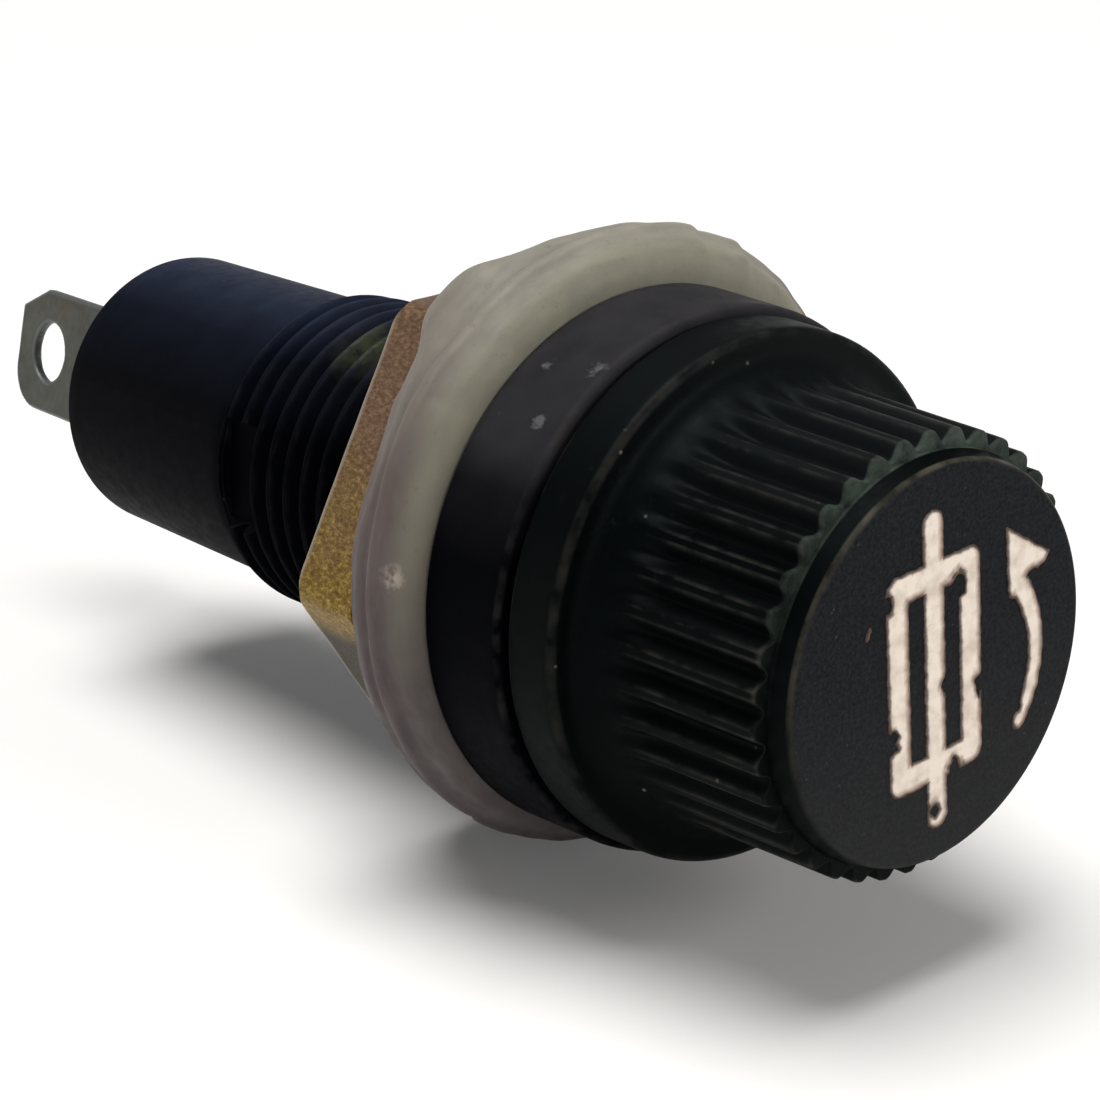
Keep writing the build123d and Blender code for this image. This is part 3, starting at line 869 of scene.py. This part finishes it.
def make_body():
    """The body: flange, helical thread, barrel, and the hollow for the ferrule and fuse."""
    front = [
        (FERRULE_BORE_R, NECK_FRONT),
        (NECK_R, NECK_FRONT, 0.15),
        (NECK_R, FLANGE_FRONT, 0.1),
        (FLANGE_R - 0.13, FLANGE_FRONT, 0.24),
        (FLANGE_R, 0, 0.12),
        (THREAD_ROOT, 0, 0.1),
        (THREAD_ROOT, SHANK_SPAN[0]),
    ]
    front = refined(rounded(front)[:-1], 0.35, closed=False)
    shank = np.array([(THREAD_ROOT, s) for s in np.arange(*SHANK_SPAN, PITCH / 16)])
    back = [
        (BARREL_R, SHANK_SPAN[1]),
        (BARREL_R, 19.0),
        (BARREL_R, BARREL_BACK, 0.08),
        (RIVET_HOLE_R, BARREL_BACK),
        (RIVET_HOLE_R, FUSE_BORE_SPAN[1]),
        (FUSE_BORE_R, FUSE_BORE_SPAN[1]),
        (FUSE_BORE_R, FUSE_BORE_SPAN[0]),
        (FERRULE_BORE_R, FUSE_BORE_SPAN[0]),
    ]
    outline = np.concatenate([front, shank, refined(rounded(back), 0.8, closed=False)])

    def shape(r, y, angle):
        station, radius = y[0], r[0]
        if station > 0.3 and abs(radius - THREAD_ROOT) < 0.02 and station < 17.7:
            return shank_radii(station, angle), y
        if station > 17.5 and radius > 5.3:
            return shank_radii(station, angle) - (BARREL_R - radius), y
        if station > BARREL_BACK - 0.01:
            return np.minimum(r, shank_radii(BARREL_BACK, angle) - 0.05), y
        if FLANGE_FRONT - 0.01 < station < 0.01 and radius > 8.5:
            worn = np.zeros(len(angle))
            for where, dent_y, size, deep in RIM_DENTS:
                along = (angle - radians(where)) * FLANGE_R
                ragged = np.array([1 + 0.4 * wobble(a * 9, station, 0, 0.4, 8) for a in angle])
                worn += deep * np.exp(-((along**2 + (station - dent_y) ** 2) / (size * ragged) ** 2))
            return r - worn, y
        return r, y

    edges = [FLAT_ANGLE - FLAT_HALF, FLAT_ANGLE + FLAT_HALF]
    for middle, half, offset in (
        (KEY_ANGLE, KEY_HALF, KEY_OFFSET),
        (FLAT_ANGLE, POCKET_HALF, FLAT_OFFSET - 0.01),
    ):
        reach = degrees(atan(half / offset))
        edges += [middle + side * (reach + nudge) for side in (-1, 1) for nudge in (-0.1, 0.1)]
    edges += [PARTING_ANGLE + turn + step for turn in (0, 180) for step in (-1.6, -0.8, 0, 0.8, 1.6)]
    angles = angles_for(360, extra=edges)
    body = turned("holder_body_look", outline, angles, shape, sharp=34)
    piece(body, "holder", BLACK_BODY, "holder_body")


# ---- washer and nut

WASHER_BORE_R = 6.4
# Degrees round the axis, height and width in degrees of each step in the washer's outline.
STEPS = ((74, 0.14, 5), (62, 0.1, 4), (232, 0.12, 4), (143, 0.06, 6))
# The same for the swells that the nut's corner squeezes out of the rear half.
SWELLS = ((152, -0.24, 12), (129, 0.22, 12), (110, 0.22, 14))
LIP_ANGLE = 122.0
LIP_RISE = 0.95


def make_washer():
    """The soft washer: a sloped front, a raised ridge, a groove, lumps and a lip over the nut's corner."""
    low, high = node_box("soft_washer")
    cx, cz = (low[0] + high[0]) / 2, (low[2] + high[2]) / 2
    big = (high[0] - low[0]) / 2
    front, back = low[1], high[1]
    outline = [
        (WASHER_BORE_R, front, 0.1),
        (big - 1.1, front, 0.3),
        (big - 0.52, front + 0.28, 0.25),
        (big - 0.26, front + 0.86, 0.2),
        (big, front + 1.02, 0.14),
        (big, front + 1.34, 0.14),
        (big - 0.2, front + 1.5, 0.2),
        (big - 0.06, front + 1.86, 0.4),
        (big - 0.26, front + 2.34, 0.3),
        (big - 0.44, back - 0.05, 0.3),
        (big - 0.9, back, 0.2),
        (WASHER_BORE_R, back, 0.1),
    ]

    def lumps(r, y, angle):
        outside = smoothstep(7.0, 9.5, r)
        station = y[0]
        bump = ring_wobble(angle, 4, station / 2, 1.6, 7)
        fine = ring_wobble(angle, 9, station, 0.9, 1)
        wave = ring_wobble(angle, 2, 0, 1.0, 11)
        inside_faces = smoothstep(0, 0.5, y - front) * smoothstep(0, 0.5, back - y)
        grown = r + outside * (0.15 * bump + 0.05 * fine - 0.07)
        for place, tall, wide in STEPS:
            away = turned_from(angle, place)
            step = np.tanh(away / radians(0.8)) * np.exp(-np.abs(away) / radians(wide))
            grown = grown + outside * tall * 0.6 * step
        squeezed = float(smoothstep(front + 1.3, back - 0.5, station))
        for place, swell, wide in SWELLS:
            away = turned_from(angle, place)
            grown = grown + outside * squeezed * swell * np.exp(-((away / radians(wide)) ** 2))
        away = turned_from(angle, LIP_ANGLE)
        lip = smoothstep(9.55, 9.95, r) * squeezed * np.exp(-((away / radians(10)) ** 4))
        y = y + LIP_RISE * lip * (1 + 0.3 * bump)
        return grown, y + outside * 0.1 * wave * inside_faces

    outline = refined(rounded(outline, 6), 0.2)
    washer = turned("soft_washer_look", outline, angles_for(480), lumps, sharp=70)
    for vertex in washer.data.vertices:
        vertex.co.x += cx * MM
        vertex.co.z += cz * MM
    piece(washer, "washer", POLYMER, "soft_washer")


NUT_FLATS = 17.0
NUT_ANGLE = 3.0
NUT_BORE_R = 6.0
NUT_FACE_R = 6.3


def make_nut():
    """The hex nut: sawn flats, chamfered rear corners and a threaded bore."""
    front, back = NUT_FRONT, NUT_BACK
    apothem = NUT_FLATS / 2
    corner = apothem / cos(pi / 6)
    outline = [
        (6.15, front),
        (corner, front, 0.06),
        (corner, back, 0.12),
        (NUT_FACE_R, back),
        (NUT_BORE_R, back - 0.2),
        (NUT_BORE_R, front + 0.2),
    ]

    def hexagon(r, y, angle):
        if r[0] < NUT_BORE_R + 0.01:
            ridge = smoothstep(0.46, 0.08, np.abs((y / PITCH + angle / TAU) % 1.0 - 0.5))
            return 6.06 - 0.1 * ridge * smoothstep(0.1, 0.4, y - front) * smoothstep(0.1, 0.4, back - y), y
        if r[0] < NUT_FACE_R + 0.05:
            return r, y
        away = (angle - radians(NUT_ANGLE + 30)) % (pi / 3)
        away = np.minimum(away, pi / 3 - away)
        flat = np.minimum(apothem / np.cos(away), corner - 0.1)
        chamfer = corner + 0.1 - 1.5 * np.clip(y - (back - NUT_CHAMFER), 0, 1)
        worn = 0.03 * ring_wobble(angle, 8, y[0], 1.5, 4)
        shrink = np.clip((r - NUT_FACE_R) / (corner - NUT_FACE_R), 0, 1)
        return NUT_FACE_R + (np.minimum(flat, chamfer) + worn - 0.02 - NUT_FACE_R) * shrink, y

    outline = refined(rounded(outline), 0.14)
    nut = turned("hex_nut_look", outline, angles_for(480, radians(NUT_ANGLE)), hexagon, sharp=28)
    piece(nut, "nut", BRASS, "hex_nut")


# ---- lugs

LUG_ANGLE = 78.0
LUG_OFFSET = 1.6
LUG_HALF = 2.57
LUG_THICKNESS = 0.5
LUG_BEND_R = 0.45
LUG_RIVET = 2.3
LUG_HOLE_R = 1.25
LUG_HOLE_BACK = 2.5
# How far in from the tip, and how high, the cropped corner starts and ends.
LUG_CROP = ((1.95, 2.6), (0.2, 1.75))
LUG_TRIM = 0.25
SIDE_OFFSET = 4.67
SIDE_HALF = 2.1
SIDE_HOLE_BACK = 1.95
SIDE_HOLE_R = 0.95


def box_depth(u, v, u0, u1, half, corner):
    """How far a point is inside a plate from u0 to u1 whose far corners are rounded."""
    centre = u1 - corner
    if u > centre and abs(v) > half - corner:
        return corner - hypot(u - centre, abs(v) - (half - corner))
    return min(u - u0, u1 - u, half - abs(v))


def plate_lift(thickness, edge):
    """Skins of a stamped plate whose edges are rounded by an amount."""

    def lift(u, v, inside):
        d = min(inside, edge)
        drop = edge - sqrt(max(edge * edge - (edge - d) ** 2, 0))
        ripple = 0.012 * wobble(u, v, 0, 1.3, 6)
        return -thickness / 2 + drop + ripple, thickness / 2 - drop + ripple

    return lift


def make_rear_lug():
    """The rear lug: a riveted foot, a bend and a blade with a wire hole and a cropped upper corner."""
    outward = radians(LUG_ANGLE + 90)
    normal = np.array([cos(outward), 0, sin(outward)])
    along = np.array([0, 1, 0])
    wide = np.array([cos(outward - pi / 2), 0, sin(outward - pi / 2)])
    foot_station = BARREL_BACK + 0.245
    foot_length = LUG_RIVET + LUG_OFFSET - LUG_BEND_R
    bend_length = LUG_BEND_R * pi / 2
    blade = span("rear_lug")[1] - LUG_TRIM - foot_station - LUG_BEND_R
    total = foot_length + bend_length + blade
    crop_a, crop_b = (np.array([total - back, high]) for back, high in LUG_CROP)
    crop = (crop_b - crop_a) / np.linalg.norm(crop_b - crop_a)

    def depth(u, v):
        inside = box_depth(u, v, 0, total, LUG_HALF, 0.35 if v > 0 else 1.75)
        if v > 0:
            inside = min(inside, (u - crop_a[0]) * crop[1] - (v - crop_a[1]) * crop[0])
        if u < 3:
            inside = min(inside, box_depth(-u, v, -total, 0, LUG_HALF, 1.2))
        inside = min(inside, hypot(u - total + LUG_HOLE_BACK, v) - LUG_HOLE_R)
        return min(inside, hypot(u - LUG_RIVET, v) - RIVET_HOLE_R - 0.02)

    def place(u, v, height):
        if u < foot_length:
            point = normal * (u - LUG_RIVET) + along * (foot_station - height)
        elif u < foot_length + bend_length:
            t = (u - foot_length) / LUG_BEND_R
            spoke = LUG_BEND_R + height
            centre = normal * (LUG_OFFSET - LUG_BEND_R) + along * (foot_station + LUG_BEND_R)
            point = centre + normal * (spoke * sin(t)) - along * (spoke * cos(t))
        else:
            run = u - foot_length - bend_length
            point = normal * (LUG_OFFSET + height) + along * (foot_station + LUG_BEND_R + run)
        return tuple(point + wide * v)

    size = ((-0.1, total + 0.1), (-LUG_HALF - 0.1, LUG_HALF + 0.1))
    lug = contour_plate("rear_lug_look", depth, size, 0.09, plate_lift(LUG_THICKNESS - 0.04, 0.12), place, 45)
    piece(lug, "holder", TINNED, "rear_lug")


def make_side_terminal():
    """The side terminal: a strip along the flat with a foot on the ferrule and a wire hole."""
    outward = radians(FLAT_ANGLE)
    normal = np.array([cos(outward), 0, sin(outward)])
    wide = np.array([-sin(outward), 0, cos(outward)])
    front, back, _ = span("side_terminal")

    def depth(u, v):
        inside = box_depth(u, v, front, back, SIDE_HALF, 1.8)
        return min(inside, hypot(u - back + SIDE_HOLE_BACK, v) - SIDE_HOLE_R)

    def place(u, v, height):
        sink = 0.1 * (1 - float(smoothstep(15.6, 16.6, u))) if height < 0 else 0.0
        return tuple(normal * (SIDE_OFFSET + height - sink) + wide * v + np.array([0, u, 0]))

    size = ((front - 0.1, back + 0.1), (-SIDE_HALF - 0.1, SIDE_HALF + 0.1))
    strip = contour_plate("side_terminal_look", depth, size, 0.1, plate_lift(0.46, 0.12), place, 45)
    piece(strip, "holder", TINNED, "side_terminal")


# ---- contacts and fuse

CAP_PITCH = 1.5
CAP_THREAD = (-2.9, 0.1)
CAP_RIVET_R = 0.85
FERRULE_R = 4.12
SLEEVE_R = 3.6


def ring_piece(node, body, slot, material, points, warp=None, longest=None):
    """A turned piece with rounded corners that stands for one CAD node."""
    outline = rounded(points, 4)
    closed = points[0][0] > 0
    if longest:
        outline = refined(outline, longest, closed)
    obj = turned(node + "_look", outline, angles_for(144), warp, sharp=35)
    piece(obj, body, material, node)


def screw(radius, rise):
    """A warp that raises the cap's thread on every row at a radius."""

    def warp(r, y, angle):
        if abs(r[0] - radius) > 0.01:
            return r, y
        ridge = smoothstep(0.42, 0.1, np.abs((y / CAP_PITCH + angle / TAU + (rise < 0) * 0.5) % 1.0 - 0.5))
        inside = smoothstep(CAP_THREAD[0] - 0.2, CAP_THREAD[0] + 0.3, y)
        inside = inside * smoothstep(CAP_THREAD[1] + 0.2, CAP_THREAD[1] - 0.3, y)
        return r + rise * ridge * inside, y

    return warp


def make_contacts():
    """The ferrule, the cap's sleeve and rivet, the plunger, the spring cup and the rear rivet."""

    def brass_ring(node, body, points, *thread):
        ring_piece(node, body, "inner_brass", INNER_BRASS, points, *thread)

    front, back, r = span("contact_shell")
    points = [(FERRULE_R, front, 0.05), (r, front, 0.05), (r, back), (FERRULE_R, back)]
    brass_ring("contact_shell", "holder", points, screw(FERRULE_R, -0.2), 0.12)

    front, back, r = span("cap_sleeve")
    points = [
        (CAP_RIVET_R + 0.02, front),
        (r, front, 0.08),
        (r, front + 5.28, 0.08),
        (SLEEVE_R, front + 5.5),
        (SLEEVE_R, back, 0.1),
        (3.36, back, 0.06),
        (3.36, front + 0.38, 0.15),
        (CAP_RIVET_R + 0.02, front + 0.38),
    ]
    brass_ring("cap_sleeve", "cap", points, screw(SLEEVE_R, 0.25), 0.12)

    front, back, r = span("cap_rivet")
    points = [
        (0, front),
        (CAP_RIVET_R, front, 0.1),
        (CAP_RIVET_R, front + 1.69),
        (r, front + 1.69, 0.06),
        (r - 0.15, back - 0.02, 0.3),
        (0, back),
    ]
    brass_ring("cap_rivet", "cap", points)

    front, back, r = span("contact_plunger")
    points = [
        (0, front + 0.32),
        (2.2, front + 0.02, 0.3),
        (r, front, 0.2),
        (r, back, 0.08),
        (r - 0.3, back, 0.08),
        (r - 0.3, front + 0.82, 0.2),
        (1.5, front + 0.82, 0.2),
        (1.3, front + 1.87, 0.2),
        (0, front + 1.87),
    ]
    brass_ring("contact_plunger", "plunger", points)

    front, back, r = span("spring_cup")
    points = [
        (RIVET_HOLE_R, back - 0.46),
        (3.0, back - 0.46, 0.15),
        (3.0, front, 0.05),
        (r, front, 0.05),
        (r, back, 0.25),
        (RIVET_HOLE_R, back),
    ]
    brass_ring("spring_cup", "holder", points)

    front, back, r = span("rear_rivet")
    points = [
        (0.45, front, 0.1),
        (r, front, 0.12),
        (r, front + 0.4, 0.1),
        (0.8, front + 0.4),
        (0.8, back - 0.35),
        (1.3, back - 0.35, 0.12),
        (1.05, back, 0.2),
        (0.45, back, 0.2),
    ]
    ring_piece("rear_rivet", "holder", "tinned_brass", TINNED, points)


def make_fuse():
    """The cartridge fuse: glass and two plated caps with a rolled rim."""
    front, front_rim, r = span("fuse_cap_front")
    length = front_rim - front
    for node, end, way in (("fuse_cap_front", front, 1), ("fuse_cap_rear", span("fuse_cap_rear")[1], -1)):
        points = [
            (0, end),
            (r, end, 0.35),
            (r, end + way * (length - 1.1), 0.3),
            (r - 0.05, end + way * (length - 0.9), 0.2),
            (r, end + way * (length - 0.7), 0.3),
            (r, end + way * length, 0.05),
            (r - 0.2, end + way * length, 0.05),
            (r - 0.23, end + way * 0.25),
            (0, end + way * 0.25),
        ]
        ring_piece(node, "fuse", "nickel_brass", NICKEL, points)
    front, back, r = span("fuse_tube")
    points = [(r - 0.4, front, 0.1), (r, front, 0.1), (r, back, 0.1), (r - 0.4, back, 0.1)]
    ring_piece("fuse_tube", "fuse", "fuse_glass", GLASS, points)


def carried_over():
    """Gives the CAD nodes that keep their own shape their materials."""
    for node, material in (
        ("contact_spring", STEEL),
        ("fuse_clip", INNER_BRASS),
        ("fuse_solder", SOLDER),
        ("fuse_element", WIRE),
    ):
        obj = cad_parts[node]
        obj.data.materials.clear()
        obj.data.materials.append(material)


# ---- stage

# Brightness of the studio's walls against height, from below to above.
SKY = ((0.0, 0.97), (0.2, 0.97), (0.42, 0.12), (1.0, 0.12))
KEY_DIRECTION = (0.1, -0.1, -0.98)
FRONT_PLACE = (0.06, -0.24, 0.09)
FLOOR_GAP = 0.0004


def floor_paper():
    """Pale paper with a trace of unevenness."""
    s = Shader("floor_paper", Roughness=0.8)
    s.colour(s.mix(s.noise(40, 3), (0.873, 0.873, 0.873), (0.9, 0.9, 0.9)))
    return s.material


def add_light(name, kind, energy, colour, direction):
    """A light that shines along a direction."""
    data = bpy.data.lights.new(name, kind)
    data.energy = energy
    data.color = colour
    lamp = bpy.data.objects.new(name, data)
    lamp.rotation_euler = Vector(direction).to_track_quat("-Z", "Y").to_euler()
    bpy.context.scene.collection.objects.link(lamp)
    return lamp


def make_stage():
    """Pale floor, soft studio walls and two lights."""
    bpy.ops.mesh.primitive_plane_add(size=3.0, location=(0, 0, cad_low[2] - FLOOR_GAP))
    floor = bpy.context.object
    floor.name = "floor"
    floor.data.materials.append(floor_paper())
    world = bpy.data.worlds.new("studio")
    bpy.context.scene.world = world
    world.use_nodes = True
    tree = world.node_tree
    direction = tree.nodes.new("ShaderNodeTexCoord")
    split = tree.nodes.new("ShaderNodeSeparateXYZ")
    sky = tree.nodes.new("ShaderNodeValToRGB")
    fill_ramp(sky, SKY)
    tree.links.new(direction.outputs["Generated"], split.inputs[0])
    tree.links.new(split.outputs["Z"], sky.inputs["Fac"])
    tree.links.new(sky.outputs["Color"], tree.nodes["Background"].inputs["Color"])

    key = add_light("soft_key", "SUN", 3.05, (1.0, 0.985, 0.96), KEY_DIRECTION)
    key.data.angle = radians(42)
    front = add_light("front", "AREA", 0.26, (1.0, 0.97, 0.93), -Vector(FRONT_PLACE))
    front.location = FRONT_PLACE
    front.data.shape = "DISK"
    front.data.size = 0.1


CAMERA_PLACE = (-0.05122, -0.05589, 0.02573)
CAMERA_AZIMUTH = radians(-40.16)
CAMERA_ELEVATION = radians(18.56)
CAMERA_LENS = 80.99


def make_camera():
    """The camera, on the left of the cap's face and a little above."""
    camera = bpy.data.objects.new("camera", bpy.data.cameras.new("camera"))
    bpy.context.scene.collection.objects.link(camera)
    camera.data.sensor_width = 36
    camera.data.lens = CAMERA_LENS
    camera.data.clip_start = 0.001
    camera.location = CAMERA_PLACE
    camera.rotation_euler = (pi / 2 - CAMERA_ELEVATION, 0, CAMERA_AZIMUTH)
    bpy.context.scene.camera = camera
    bpy.context.scene.view_settings.view_transform = "Standard"


make_cap()
make_marking()
make_body()
make_washer()
make_nut()
make_rear_lug()
make_side_terminal()
make_contacts()
make_fuse()
carried_over()
make_stage()
make_camera()
